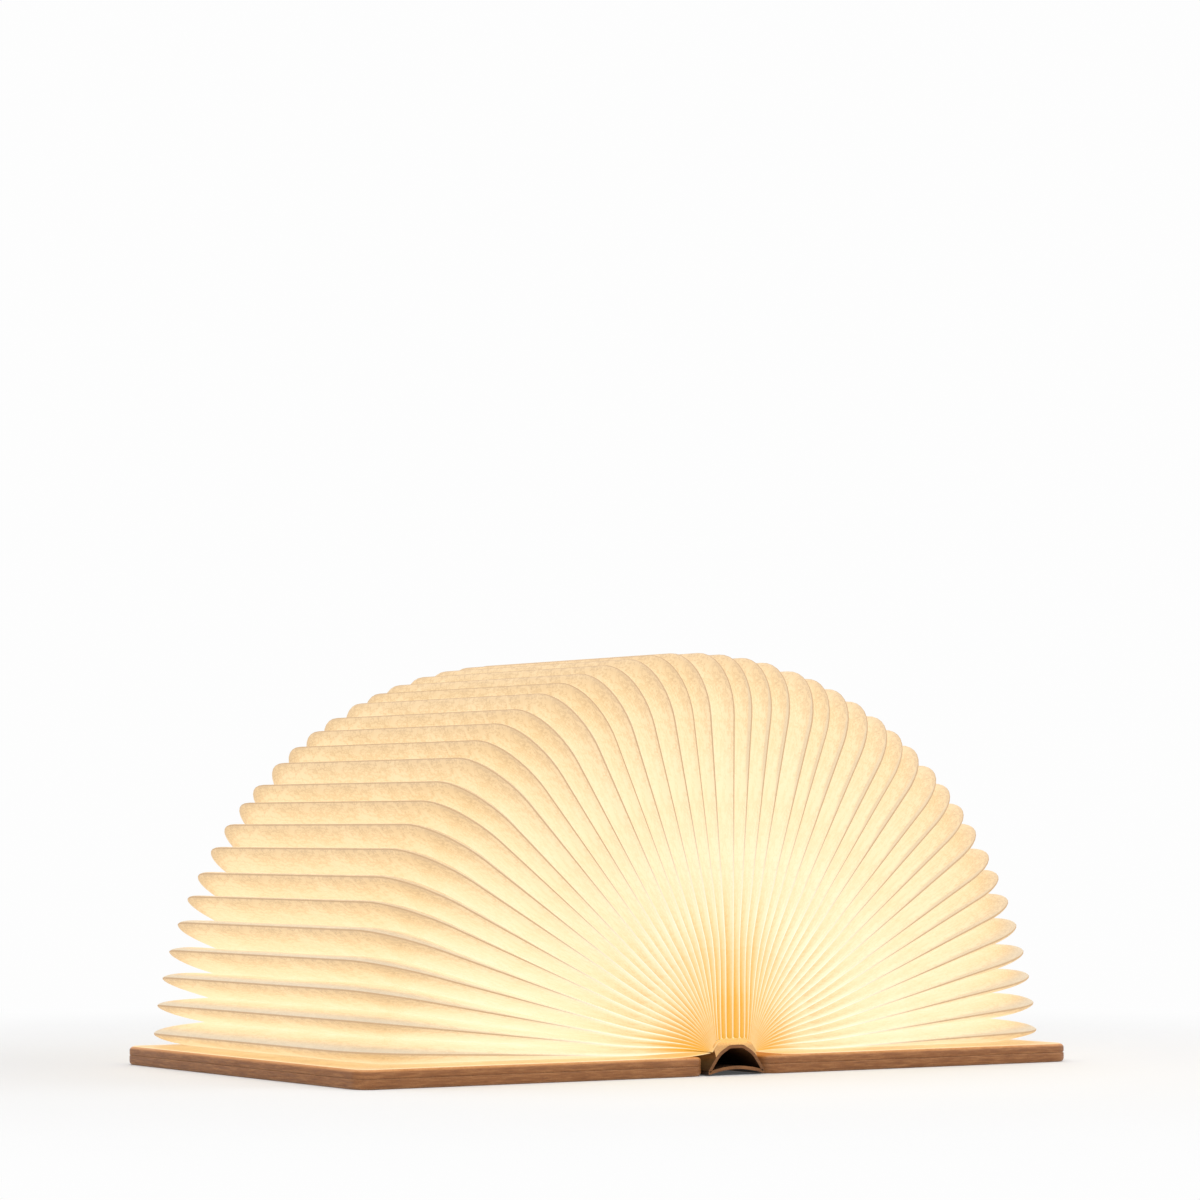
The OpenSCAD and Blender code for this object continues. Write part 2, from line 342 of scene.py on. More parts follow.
@dataclass(frozen=True)
class WoodFinish:
    """Oiled brown wood with its grain along Y."""

    name: str
    light: Colour = hue(192, 143, 100)
    dark: Colour = hue(160, 111, 71)
    pore: Colour = hue(112, 72, 44)
    edge: Colour = hue(138, 88, 50)
    streak: Colour = hue(178, 124, 78)
    edge_share: float = 0.9
    # painted light: how much of the lamp's orange light is painted as a glow on upward faces
    warm_rim: float = 0.0
    lamplight: Colour = hue(236, 150, 62)
    shade: float = 0.0
    shadow: Colour = (0.012, 0.007, 0.004)

    def make(self) -> bpy.types.Material:
        """Return the wood: clouds, streaks, pores, darker edges and an open grain."""
        g = Graph(self.name)
        place = g.place()

        def grain(source: Signal, along: float, *noise: float) -> Signal:
            """Return a noise drawn out along Y."""
            return g.noise(g.stretched(source, (1.0, along, 1.0)), *noise)

        clouds = grain(place, 0.12, 16, 2, 0.5)
        drift = grain(place, 0.16, 34, 2, 0.5)
        bent = g.mix(place, drift, 0.006, "ADD")
        bands = grain(bent, 0.03, 130, 3, 0.6)
        streaks = grain(bent, 0.035, 620, 4, 0.66)
        pores = grain(place, 0.07, 1700, 2, 0.55)
        specks = grain(place, 0.25, 2300, 2, 0.6)
        tone = (clouds - 0.5) * 0.5 + (bands - 0.5) * 0.75
        tone = tone + (streaks - 0.5) * 0.95 + 0.5
        colour = g.mix(self.light, self.dark, tone.above(0.1, 0.9))
        pore_mask = (1 - pores.above(0.30, 0.44)) * 0.55
        colour = g.mix(colour, self.pore, pore_mask)
        side = 1 - g.facing("Z").size().above(0.35, 0.85)
        long_grain = g.noise(g.stretched(place, (0.10, 0.10, 1.0)), 1100, 4, 0.65)
        edge = g.mix(self.edge, self.streak, long_grain.above(0.42, 0.72) * 0.8)
        edge = g.mix(edge, self.pore, (1 - long_grain.above(0.28, 0.46)) * 0.8)
        edge = g.mix(edge, self.pore, (1 - specks.above(0.33, 0.45)) * 0.5)
        colour = g.mix(colour, edge, side * self.edge_share)
        worn = g.noise(place, 90, 3, 0.6).above(0.55, 0.8)
        colour = g.mix(colour, self.streak, worn * side * 0.35)
        if self.shade:
            front = g.facing("Y").size().above(0.3, 0.7)
            deep = 1 - g.part(place, "Z").above(0.005, 0.0125)
            colour = g.mix(colour, self.shadow, deep * (1 - front) * self.shade)
        rough = 0.46 + (streaks - 0.5) * 0.22 + pore_mask * 0.2
        height = streaks * 0.5 - pore_mask * 0.9 + specks * 0.25
        inputs: dict[str, object] = {}
        # painted light: the lamp's orange light falling on the upward faces, painted as emission
        if self.warm_rim:
            top = g.facing("Z").above(0.1, 0.95)
            inputs = {
                "Emission_Color": g.mix((0, 0, 0), self.lamplight, top * self.warm_rim),
                "Emission_Strength": 0.55,
            }
        return g.finish(
            Base_Color=colour,
            Roughness=rough,
            Specular_IOR_Level=0.28,
            Normal=g.bump(height, 0.00016, 0.7),
            **inputs,
        )


@dataclass(frozen=True)
class PaperFinish:
    """Fibrous white paper lit from inside, warmer in its folds and at its tips."""

    name: str
    sheet: Colour = (0.31, 0.28, 0.225)
    tip: Colour = (0.51, 0.325, 0.155)
    amber: Colour = (0.67, 0.45, 0.22)
    cream: Colour = (0.76, 0.58, 0.335)
    bright: Colour = (0.79, 0.665, 0.43)
    glare: Colour = (0.80, 0.73, 0.55)
    golden: Colour = (0.67, 0.325, 0.025)
    top: Colour = (0.50, 0.43, 0.33)
    # painted light: the grey-white that studio light gives the upper walls of the outer leaves
    crease: Colour = (0.36, 0.225, 0.115)
    white: Colour = (0.82, 0.76, 0.60)
    # painted shade: colour of the darker strip along the ridge
    lap: Colour = (0.53, 0.40, 0.24)
    # painted shade: browner base colour deep in the folds near the roots
    soaked: Colour = (0.31, 0.24, 0.10)
    marks: ClassVar[tuple[str, ...]] = ("glow", "warm", "pale", "edge", "fold", "lap")

    def make(self) -> bpy.types.Material:
        """Return the paper: its glow by fold and reach, and its fibres and creases."""
        g = Graph(self.name)
        flat = g.add("ShaderNodeUVMap", {"uv_map": "sheet"})
        glow, warm, pale, edge, fold, lap = (g.attribute(key) for key in self.marks)
        clouds = g.noise(flat, 48, 4, 0.6)
        fibres = g.noise(g.stretched(flat, (1.0, 0.22, 1.0), (3, 1, 0)), 420, 5, 0.7)
        thread = g.noise(g.stretched(flat, (0.35, 1.0, 1.0), (7, 4, 0)), 230, 4, 0.75)
        vein = 1 - ((thread - 0.5) * 16).size().above(0.0, 1.0)
        vein2 = 1 - ((fibres - 0.5) * 11).size().above(0.0, 1.0)
        blots = g.noise(g.stretched(flat, (1.0, 1.0, 1.0), (11, 5, 0)), 17, 3, 0.5)
        level = glow + (clouds - 0.5) * 0.42 + (fibres - 0.5) * 0.18
        level = level + (blots - 0.5) * 0.38 - vein * 0.16 + vein2 * 0.06
        tones = (self.tip, self.amber, self.cream, self.bright, self.glare)
        light = g.ramp(level, list(zip((0.0, 0.20, 0.40, 0.68, 1.0), tones)))
        light = g.mix(light, self.golden, warm * (0.90 + (clouds - 0.5) * 0.5))
        # painted light: the upper walls of the outer leaves take the grey-white of studio light
        light = g.mix(light, self.top, pale * 0.7)
        # painted shade: a darker strip along the ridge on one wall of each leaf
        light = g.mix(light, self.lap, (lap - fold).above(0.0, 0.7) * 0.7)
        line = 1 - fold.above(0.22, 0.52)
        drawn = g.mix(self.crease, self.white, edge)
        light = g.mix(light, drawn, line * 0.9)
        darker = tuple(c * 0.86 for c in self.sheet)
        colour = g.mix(self.sheet, darker, vein * 0.5 + clouds * 0.4)
        # painted shade: browner where the glow is golden, deep in the folds near the roots
        colour = g.mix(colour, self.soaked, warm * 0.9)
        dim = tuple(c * 0.8 for c in self.crease)
        colour = g.mix(colour, dim, line * (1 - edge) * 0.7)
        height = fibres * 0.6 + clouds * 0.8 + thread * 0.5
        return g.finish(
            Base_Color=colour,
            Roughness=0.62,
            Specular_IOR_Level=0.25,
            Emission_Color=light,
            Emission_Strength=1.0,
            Normal=g.bump(height, 0.0003, 0.35),
        )


@dataclass(frozen=True)
class PlainFinish:
    """A moulded, turned or coated surface with a fine grain of its own."""

    name: str
    colour: Colour
    second: Colour
    roughness: float = 0.45
    metallic: float = 0.0
    grain: float = 900.0
    stretch: Point = (1.0, 1.0, 1.0)
    depth: float = 0.00004
    glow: Colour | None = None

    def make(self) -> bpy.types.Material:
        """Return the surface: two close tones, a grain and a soft bump."""
        g = Graph(self.name)
        place = g.stretched(g.place(), self.stretch)
        fine = g.noise(place, self.grain, 3, 0.6)
        broad = g.noise(place, self.grain / 18, 2, 0.5)
        share = (fine - 0.5) * 0.9 + (broad - 0.5) * 0.8 + 0.5
        extra: dict[str, object] = {}
        if self.glow:
            dim = tuple(c * 0.8 for c in self.glow)
            extra = {
                "Emission_Color": g.mix(self.glow, dim, broad),
                "Emission_Strength": 1.0,
            }
        return g.finish(
            Base_Color=g.mix(self.colour, self.second, share.above(0.0, 1.0)),
            Roughness=self.roughness + (fine - 0.5) * 0.12,
            Metallic=self.metallic,
            Normal=g.bump(fine, self.depth, 0.6),
            **extra,
        )


@dataclass(frozen=True)
class RootFinish:
    """The glued paper over the page roots, with painted light: golden above, where it is lit, and
    brown below, in painted shade.
    """

    name: str
    lit: Colour = (0.56, 0.29, 0.065)
    peak: Colour = (0.80, 0.66, 0.38)
    dull: Colour = (0.10, 0.045, 0.015)

    def make(self) -> bpy.types.Material:
        """Return the paper, with its painted light and shade by height over the strip."""
        g = Graph(self.name)
        place = g.place()
        grain = g.noise(place, 1300, 3, 0.6)
        height = g.part(place, "Z") + (grain - 0.5) * 0.0006
        # painted shade low on the strip, painted light higher up and a painted highlight at the
        # top
        light = g.mix(self.dull, self.lit, height.above(0.0120, 0.0145))
        light = g.mix(light, self.peak, height.above(0.0152, 0.0162))
        return g.finish(
            Base_Color=g.mix(hue(168, 118, 66), hue(222, 178, 112), grain),
            Roughness=0.6,
            Emission_Color=light,
            Emission_Strength=0.85,
            Normal=g.bump(grain, 0.0001, 0.6),
        )


# --------------------------------------------------------------- mesh by hand


def deselect() -> None:
    """Leave no object selected."""
    for thing in bpy.context.view_layer.objects:
        thing.select_set(False)


def select_edges(
    thing: bpy.types.Object, wanted: Callable[[Vector, Vector], bool]
) -> None:
    """Select the edges of a mesh in edit mode by a test on their two ends.

    Args:
        thing: The object in edit mode.
        wanted: Takes the ends' places and says whether the edge is meant.
    """
    bpy.ops.mesh.select_mode(type="EDGE")
    bpy.ops.mesh.select_all(action="DESELECT")
    bpy.ops.object.mode_set(mode="OBJECT")
    for edge in thing.data.edges:
        a, b = (thing.data.vertices[i].co for i in edge.vertices)
        edge.select = bool(wanted(a, b))
    bpy.ops.object.mode_set(mode="EDIT")


def new_box(name: str, low: Point, high: Point) -> bpy.types.Object:
    """Add a box between two corners and open it in edit mode.

    Args:
        name: The piece's name.
        low: Its lowest corner in metres.
        high: Its highest corner in metres.

    Returns:
        The box, whose mesh holds its place.
    """
    deselect()
    middle = [(a + b) / 2 for a, b in zip(low, high)]
    bpy.ops.mesh.primitive_cube_add(size=1, location=(0, 0, 0))
    thing = bpy.context.object
    thing.name = thing.data.name = name
    for vertex in thing.data.vertices:
        vertex.co = Vector(
            m + c * (b - a) for m, c, a, b in zip(middle, vertex.co, low, high)
        )
    bpy.ops.object.mode_set(mode="EDIT")
    return thing


def close_piece(
    thing: bpy.types.Object,
    finish: bpy.types.Material,
    body: str,
    nodes: tuple[str, ...] = (),
    smooth: float = 35.0,
) -> bpy.types.Object:
    """body: The CAD body it rides on, or "" to leave it on no body.
        nodes: The CAD nodes it stands for.
        smooth: Edges flatter than this many degrees are shaded smooth.

    Returns:
        The same piece.
    """
    if bpy.context.object and bpy.context.object.mode == "EDIT":
        bpy.ops.object.mode_set(mode="OBJECT")
    deselect()
    thing.select_set(True)
    bpy.context.view_layer.objects.active = thing
    bpy.ops.object.shade_smooth_by_angle(angle=math.radians(smooth))
    thing.data.materials.clear()
    thing.data.materials.append(finish)
    if body:
        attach(thing, body)
    if nodes:
        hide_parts(*nodes)
    log.info("%s: %d faces", thing.name, len(thing.data.polygons))
    return thing


def sheet_mesh(
    name: str, rows: list[list[Point]], thickness: float
) -> bpy.types.Object:
    """Make a strip of a thin sheet from a grid primitive bent to given rows.

    Args:
        name: The piece's name.
        rows: Points of the sheet's outer face, row by row.
        thickness: How thick the sheet becomes, away from its outer face.

    Returns:
        The sheet as a closed mesh.
    """
    deselect()
    bpy.ops.mesh.primitive_grid_add(
        x_subdivisions=len(rows[0]) - 1, y_subdivisions=len(rows) - 1, size=2
    )
    thing = bpy.context.object
    thing.name = thing.data.name = name
    wide, high = len(rows[0]), len(rows)
    for vertex in thing.data.vertices:
        i = round((vertex.co.x + 1) / 2 * (wide - 1))
        j = round((vertex.co.y + 1) / 2 * (high - 1))
        vertex.co = Vector(rows[j][i])
    shell = thing.modifiers.new("thickness", "SOLIDIFY")
    shell.thickness = thickness
    shell.offset = -1.0
    bpy.ops.object.modifier_apply(modifier=shell.name)
    return thing


def side_rows(side: Side, path: Path2D, ys: Sequence[float]) -> list[list[Point]]:
    """Return rows of points in metres: a path in X and Z in mm, again at each Y."""
    return [[(side.value * x * MM, y * MM, z * MM) for x, z in path] for y in ys]


def bend(
    thing: bpy.types.Object,
    side: Side,
    start: tuple[float, float],
    end: tuple[float, float],
) -> None:
    """end: X and Z in mm of where it would end; not used.

    Args:
        thing: The piece.
        side: The side whose cover it follows.
        start: X and Z in mm of where the bend starts.
        end: X and Z in mm of where it ends.
    """
    first, last = ((side.value * x * MM, 0, z * MM) for x, z in (start, end))
    side.cover
    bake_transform(thing)


def write_marks(mesh: bpy.types.Mesh, marks: dict[str, list[float]]) -> None:
    """Store one number for each vertex under each name."""
    for key, values in marks.items():
        mesh.attributes.new(key, "FLOAT", "POINT").data.foreach_set("value", values)


def write_map(mesh: bpy.types.Mesh, places: list[tuple[float, float]]) -> None:
    """Store the sheet map, from each vertex's place on the flat sheet in metres."""
    layer = mesh.uv_layers.new(name="sheet")
    for loop in mesh.loops:
        layer.data[loop.index].uv = places[loop.vertex_index]


# ---------------------------------------------------------------------- covers


@dataclass
class Cover:
    """One cover: two plies of wood with a shadow line between them."""

    side: Side
    face: bpy.types.Material
    rim: bpy.types.Material
    gap: float = 15.0
    width: float = 170.0
    height: float = 215.0
    plies: tuple[float, float] = (4.2, 3.8)
    groove: float = 0.4
    corner: float = 7.5
    edge: float = 1.6
    eased: float = 0.35
    bead_sink: float = 0.2

    def _ply(
        self, name: str, low: float, high: float, inset: float = 0.0
    ) -> bpy.types.Object:
        """Cut one ply: a box with round corners.

        Args:
            name: The piece's name.
            low: Height of its underside in mm.
            high: Height of its top in mm.
            inset: How far it stands back from the board's outline in mm.

        Returns:
            The ply, still in edit mode.
        """
        near, far = self.gap + inset, self.gap + self.width - inset
        half = self.height / 2 - inset
        xs = sorted(self.side.value * x * MM for x in (near, far))
        thing = new_box(
            name, (xs[0], -half * MM, low * MM), (xs[1], half * MM, high * MM)
        )
        select_edges(thing, lambda a, b: abs(a.z - b.z) > (high - low) * MM / 2)
        rounding = (self.corner - inset) * MM
        bpy.ops.mesh.bevel(offset=rounding, segments=9, affect="EDGES")
        return thing

    def _ease(self, thing: bpy.types.Object, height: float, radius: float) -> None:
        """Round the rim of a ply at one height."""
        level = height * MM
        select_edges(
            thing,
            lambda a, b: abs(a.z - level) < 1e-5 and abs(b.z - level) < 1e-5,
        )
        bpy.ops.mesh.bevel(offset=radius * MM, segments=4, affect="EDGES")

    def build(self) -> list[bpy.types.Object]:
        """Build both plies and the bead between them.

        Returns:
            The pieces.
        """
        word, body = self.side.word, self.side.cover
        split, top = self.plies[0], sum(self.plies)
        seat = split + self.groove * 0.5
        outer = self._ply(f"{word}_outer_ply", 0, split)
        self._ease(outer, 0, self.edge)
        self._ease(outer, split, self.eased)
        close_piece(outer, self.face, body, (f"{word}_outer_board",))
        inner = self._ply(f"{word}_inner_ply", seat, top)
        self._ease(inner, top, self.edge)
        self._ease(inner, seat, self.eased)
        close_piece(inner, self.rim, body, (f"{word}_inner_board",))
        low, high = split - self.bead_sink, split + self.groove
        bead = self._ply(f"{word}_shadow_line", low, high, self.groove)
        close_piece(bead, self.rim, body, ())
        return [outer, inner, bead]


# ------------------------------------------------------------------ page block


@dataclass
class Fan:
    """The rule that places every pleat: leaf k leans by k steps from the vertical."""

    count: int = 45
    line_z: float = 8.0
    length: float = 167.0
    depth: float = 22.0
    corner: float = 28.0
    half_y: float = 105.0
    root_a: float = 18.3
    root_near: float = 15.25
    root_far: float = 19.9
    bow: float = 56.0

    @property
    def pitch(self) -> float:
        """Angle between two leaves, in radians."""
        return math.pi / self.count

    @property
    def side_count(self) -> int:
        """Leaves on each side of the middle one."""
        return (self.count - 1) // 2

    def lean(self, k: float) -> float:
        """Return the lean of place k in the fan, a little uneven as real pleats are."""
        end = self.count / 2
        calm = max(0.0, 1 - (k / end) ** 2)
        uneven = 0.075 * math.sin(1.73 * k + 0.6) + 0.055 * math.sin(2.91 * k + 2.0)
        return (k + uneven * calm) * self.pitch

    def root_r(self, k: float, height: float) -> float:
        """Return how far leaf k's root is from the fan's line, on the root ellipse."""
        s, c = math.sin(k * self.pitch), math.cos(k * self.pitch)
        p = s * s / self.root_a**2 + c * c / height**2
        q = self.line_z * c / height**2
        m = self.line_z**2 / height**2 - 1
        return (-q + math.sqrt(q * q - p * m)) / p

    def near_root(self, k: float) -> tuple[float, float]:
        """Return X and Z of place k where the pleats gather over the arch's near end."""
        t = abs(k)
        x = 8.8 * math.tanh(t / 2.6) + 0.17 * t
        z = 15.4 - 0.25 * t * (1 - math.exp(-((t / 3) ** 2)))
        return math.copysign(x, k), z

    def centre(self, k: float, r: float, near: bool) -> tuple[float, float]:
        """Return X and Z of place k of the fan at distance r from the fan's line.

        Args:
            k: Place in the fan, a whole number on a leaf and a half in a valley.
            r: Distance from the fan's line in mm.
            near: Whether the point is on the near end, where the roots bow.

        Returns:
            X and Z in mm.
        """
        lean = self.lean(k)
        way = math.sin(lean), math.cos(lean)
        if not near or r >= self.bow:
            return r * way[0], self.line_z + r * way[1]
        root = self.near_root(k)
        start = math.hypot(root[0], root[1] - self.line_z)
        u = max(0.0, (r - start) / (self.bow - start))
        turn = lean * (0.40 + 0.60 * (lean / (math.pi / 2)) ** 2)
        first = math.sin(turn), math.cos(turn)
        last = self.bow * way[0], self.line_z + self.bow * way[1]
        span = math.hypot(last[0] - root[0], last[1] - root[1])
        start_share = 2 * u**3 - 3 * u**2 + 1
        start_pull = (u**3 - 2 * u**2 + u) * span
        end_pull = (u**3 - u**2) * (self.bow - start)
        x, z = (
            start_share * root[i]
            + start_pull * first[i]
            + (1 - start_share) * last[i]
            + end_pull * way[i]
            for i in range(2)
        )
        return x, z


@dataclass
class Station:
    """One rib of a pleat: its ridge, its valley and its place along the pleat."""

    ridge_r: float
    ridge_y: float
    valley_r: float
    valley_y: float
    along: float = 0.0


@dataclass
class Leaf:
    """One pleat: two sheets of paper that meet in a ridge and open to the light."""

    fan: Fan
    k: int
    finish: bpy.types.Material
    thickness: float = 0.17
    clear: float = 0.05
    roundness: float = 0.55
    ripple: float = 0.035
    bed: float = 0.50
    lamp_r: float = 28.0
    lamp_half_y: float = 79.0
    lamp_reach: float = 150.0
    # width in mm of the painted shaded strip along the ridge
    lap_width: float = 2.4
    steps: tuple[float, ...] = (0, 0.005, 0.02, 0.05, 0.11, 0.21, 0.37, 0.57, 0.79, 1.0)
    reach: tuple[float, ...] = (
        *(0, 0.012, 0.028, 0.048, 0.072, 0.10, 0.135, 0.18, 0.235, 0.30),
        *(0.38, 0.48, 0.60, 0.73, 0.87),
    )

    @property
    def name(self) -> str:
        """The CAD node's name."""
        if self.k == 0:
            return "leaf_mid"
        return f"leaf_{'l' if self.k < 0 else 'r'}{abs(self.k):02d}"

    def stations(self) -> list[Station]:
        """Return the ribs, from the near root round the fore corners to the far root."""
        fan, k = self.fan, self.k
        near = math.hypot(fan.near_root(k)[0], fan.near_root(k)[1] - fan.line_z)
        fore = fan.root_r(k, fan.root_near) + fan.length
        far = fan.root_r(k, fan.root_far)
        cr, cy = fore - fan.corner, fan.half_y - fan.corner
        vr = fan.corner - fan.depth
        vy = fan.half_y - fan.depth

        def straight(root: float, share: float, end: int) -> Station:
            """Return a rib between a root and a corner, at the near or far end."""
            r = root + (cr - root) * share
            return Station(r, end * fan.half_y, r, end * vy)

        def turned(angle: float, end: int) -> Station:
            """Return a rib on a corner, at an angle from the straight ribs."""
            s, c = math.sin(angle), math.cos(angle)
            ridge_y, valley_y = cy + fan.corner * c, cy + vr * c
            return Station(cr + fan.corner * s, end * ridge_y, cr + vr * s, end * valley_y)

        arc = [math.pi / 2 * i / 10 for i in range(11)]
        out = [straight(near, share, -1) for share in self.reach]
        out += [turned(angle, -1) for angle in arc]
        out += [Station(fore, cy * y, cr + vr, cy * y) for y in (-0.68, -0.36, 0, 0.36, 0.68)]
        out += [turned(angle, 1) for angle in arc[::-1]]
        out += [straight(far, share, 1) for share in self.reach[::-1]]
        for one, two in zip(out, out[1:]):
            step = math.hypot(two.ridge_r - one.ridge_r, two.ridge_y - one.ridge_y)
            two.along = one.along + step
        return out

    def _point(self, s: Station, step: float, turn: float, inset: float) -> Point:
        """Return a point of a sheet.

        Args:
            s: The rib.
            step: 0 at the ridge, 1 in the valley.
            turn: -1 for the sheet on the left, 1 for the one on the right.
            inset: How far inside the outer face the point is, in mm.

        Returns:
            The point in metres.
        """
        fan = self.fan
        r = s.ridge_r + (s.valley_r - s.ridge_r) * step
        y = s.ridge_y + (s.valley_y - s.ridge_y) * step
        near = y < 0
        mid = fan.centre(self.k, r, near)
        edge = fan.centre(self.k + 0.5 * turn, r, near)
        half = math.hypot(edge[0] - mid[0], edge[1] - mid[1])
        wave = math.sin(s.along * 0.083 + self.k * 2.1 + turn) * math.sin(math.pi * step)
        slack = (self.clear / max(half, 0.1) + 0.01) * (1 - step**6)
        share = (step**self.roundness + self.ripple * wave) * (1 - slack)
        share = max(0.0, share - inset / max(half, 0.01))
        k = self.k + 0.5 * turn * share
        x, z = fan.centre(k, r, near)
        if abs(self.k) == fan.side_count:
            z = max(z, fan.line_z + self.bed + 0.4 * min(inset, self.thickness))
        return x * MM, y * MM, z * MM

    def _light(self, s: Station, step: float, turn: float) -> dict[str, float]:
        """Return how a point of the sheet is lit from inside.

        Args:
            s: The rib.
            step: 0 at the ridge, 1 in the valley.
            turn: -1 for the sheet on the left, 1 for the one on the right.

        Returns:
            Its glow, how golden that is, how much studio light paints its top grey-white and how
            white its crease is, from 0 to 1, and the width in mm of the painted shaded strip by
            the ridge.
        """
        r = s.ridge_r + (s.valley_r - s.ridge_r) * step
        y = abs(s.ridge_y + (s.valley_y - s.ridge_y) * step)
        away = math.hypot(r - self.lamp_r, max(0.0, y - self.lamp_half_y))
        level = 0.10 + 0.50 * step**0.6 + 0.68 * max(0.0, 1 - away / self.lamp_reach)
        root = smooth(118, 30, r)
        shallow = min(1.0, step / (0.02 + 0.0033 * r))
        level += (1.02 - 0.78 * shallow**0.75 - level) * 0.92 * root
        level -= 0.42 * math.exp(-((max(0.0, r - 8) / 16) ** 2))
        corner = max(0.0, (r - 150) / 35) * max(0.0, (y - 70) / 35) * (1 - step)
        middle = math.exp(-((self.k / 9) ** 2))
        golden = smooth(45 + 39 * middle, 15, r) * (0.52 + 0.48 * shallow)
        low = smooth(15, 20, abs(self.k)) * smooth(118, 165, r)
        upward = turn * (1 if self.k < 0 else -1) > 0
        crescent = math.sin(math.pi * min(1.0, max(0.0, (s.ridge_r - 104) / 68)))
        dulled = 0.8 * smooth(28, 12, r) * (1 - 0.8 * middle)
        warm = golden * (0.94 + 0.06 * middle) + 0.2 * corner * (1 - step)
        return {
            "glow": max(0.06, level - 0.36 * corner),
            "warm": min(1.0, warm),
            # painted light: studio light on the upper walls of the outer leaves, near the ridge
            "pale": low * (1 - smooth(0.04, 0.34, step)) * upward,
            "edge": smooth(112, 60, r) * (1 - dulled),
            # painted shade: width of the darker strip along the ridge, on one wall of each leaf
            "lap": self.lap_width * crescent if turn * self.k < 0 else 0.0,
        }

    def build(self) -> bpy.types.Object:
        """Build the pleat, lay its sheet map and glow on it, and hang it on its body.

        Returns:
            The pleat.
        """
        ribs, last = self.stations(), len(self.steps) - 1
        outside = [(-1, i) for i in range(last, 0, -1)] + [(1, i) for i in range(last + 1)]
        points: list[Point] = []
        marks: dict[str, list[float]] = {key: [] for key in PaperFinish.marks}
        maps: list[tuple[float, float]] = []
        for rib in ribs:
            crest, base = (Vector(self._point(rib, step, 1, 0)) for step in (0, 1))
            narrow = max(1.0, 1.1 * MM / math.hypot(base.x - crest.x, base.z - crest.z))
            width = 0.5 * rib.valley_r * self.fan.pitch
            start = min(0.6, self.thickness / max(width, 0.25))
            for inner in (False, True):
                for turn, i in outside[::-1] if inner else outside:
                    step, at, inset = self.steps[i], self.steps[i], 0.0
                    if inner:
                        at = start + (1 - start) * step
                        inset = self.thickness * 0.9 if i else 99
                    point = self._point(rib, at, turn, inset)
                    points.append(point)
                    for key, value in self._light(rib, step, turn).items():
                        marks[key].append(value)
                    marks["fold"].append((Vector(point) - crest).length / MM * narrow)
                    maps.append((rib.along * MM, turn * step * self.fan.depth * MM))
        wide = 2 * len(outside)
        faces = [
            (a + i, a + (i + 1) % wide, b + (i + 1) % wide, b + i)
            for a, b in ((n * wide, (n + 1) * wide) for n in range(len(ribs) - 1))
            for i in range(wide)
        ]
        for start, turned in ((0, False), ((len(ribs) - 1) * wide, True)):
            for i in range(len(outside) - 1):
                back = start + wide - 1 - i
                face = (start + i, back, back - 1, start + i + 1)
                faces.append(face[::-1] if turned else face)
        mesh = bpy.data.meshes.new(f"{self.name}_pleat")
        mesh.from_pydata(points, [], [f[::-1] for f in faces])
        mesh.validate()
        write_marks(mesh, marks)
        write_map(mesh, maps)
        thing = bpy.data.objects.new(f"{self.name}_pleat", mesh)
        bpy.context.scene.collection.objects.link(thing)
        body = "core" if self.k == 0 else self.name
        close_piece(thing, self.finish, body, (self.name,), 40)
        lean = self.k * self.fan.pitch
        "right_cover_fold" if self.k == 0 else f"{self.name}_turn"
        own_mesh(thing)
        return thing


@dataclass
class EndPage:
    """The last page of a side, pasted on the cover and free where it rises."""

    side: Side
    finish: bpy.types.Material
    fan: Fan
    thickness: float = 0.2
    lift_end: float = 36.0
    margin: float = 0.22
    corner: float = 6.2
    half: float = 106.0
    fore: float = 183.5

    def _half_y(self, x: float) -> float:
        """Return half the page's height at this distance from the spine's line."""
        into = max(0.0, x - (self.fore - self.corner))
        return self.half - self.corner + math.sqrt(max(0.0, self.corner**2 - into**2))

    def build(self) -> bpy.types.Object:
        """Bend the page from the page roots down to the cover and along it.

        Returns:
            The page.
        """
        fan, sign, fore, corner = self.fan, self.side.value, self.fore, self.corner
        root_x, root_z = fan.near_root(fan.count / 2)
        low = fan.line_z + self.margin
        places: Path2D = []
        for i in range(12):
            t = i / 11
            x = root_x + (self.lift_end - root_x) * t
            places.append((x, low + (root_z + 0.1 - low) * (1 - t) ** 2.2))
        flat = fore - corner
        xs = [self.lift_end + (flat - self.lift_end) * i / 12 for i in range(1, 13)]
        xs += [flat + corner * math.sin(math.pi / 2 * i / 9) for i in range(1, 10)]
        places += [(x, low) for x in xs]
        shares = [math.sin(math.pi / 2 * i / 10) for i in range(-10, 11)]
        rows = [
            [(sign * x * MM, sign * share * self._half_y(x) * MM, z * MM) for x, z in places]
            for share in shares
        ]
        thing = sheet_mesh(f"{self.side.word}_end_page", rows, self.thickness * MM)
        mesh = thing.data
        write_map(mesh, [(vertex.co.x, vertex.co.y) for vertex in mesh.vertices])
        marks: dict[str, list[float]] = {key: [] for key in PaperFinish.marks}
        for vertex in mesh.vertices:
            x, y = abs(vertex.co.x) / MM, abs(vertex.co.y) / MM
            reach = (x - root_x) / (fore - root_x)
            rim = min(self._half_y(min(x, fore)) - y, fore - x)
            near = math.exp(-x / 60) + 0.3 * math.sin(x * 0.09 + y * 0.031)
            glow = 0.22 - 0.08 * reach + 0.3 * near * (1 - reach)
            values = {
                "glow": glow + 0.5 * math.exp(-rim / 0.8),
                "warm": 0.35 * smooth(60, 18, x) + 0.25 * smooth(30, 4, rim),
                "fold": 5.0,
            }
            for key, listed in marks.items():
                listed.append(values.get(key, 0.0))
        write_marks(mesh, marks)
        close_piece(thing, self.finish, "", ())
        bend(thing, self.side, (root_x, root_z), (30, low))
        return thing


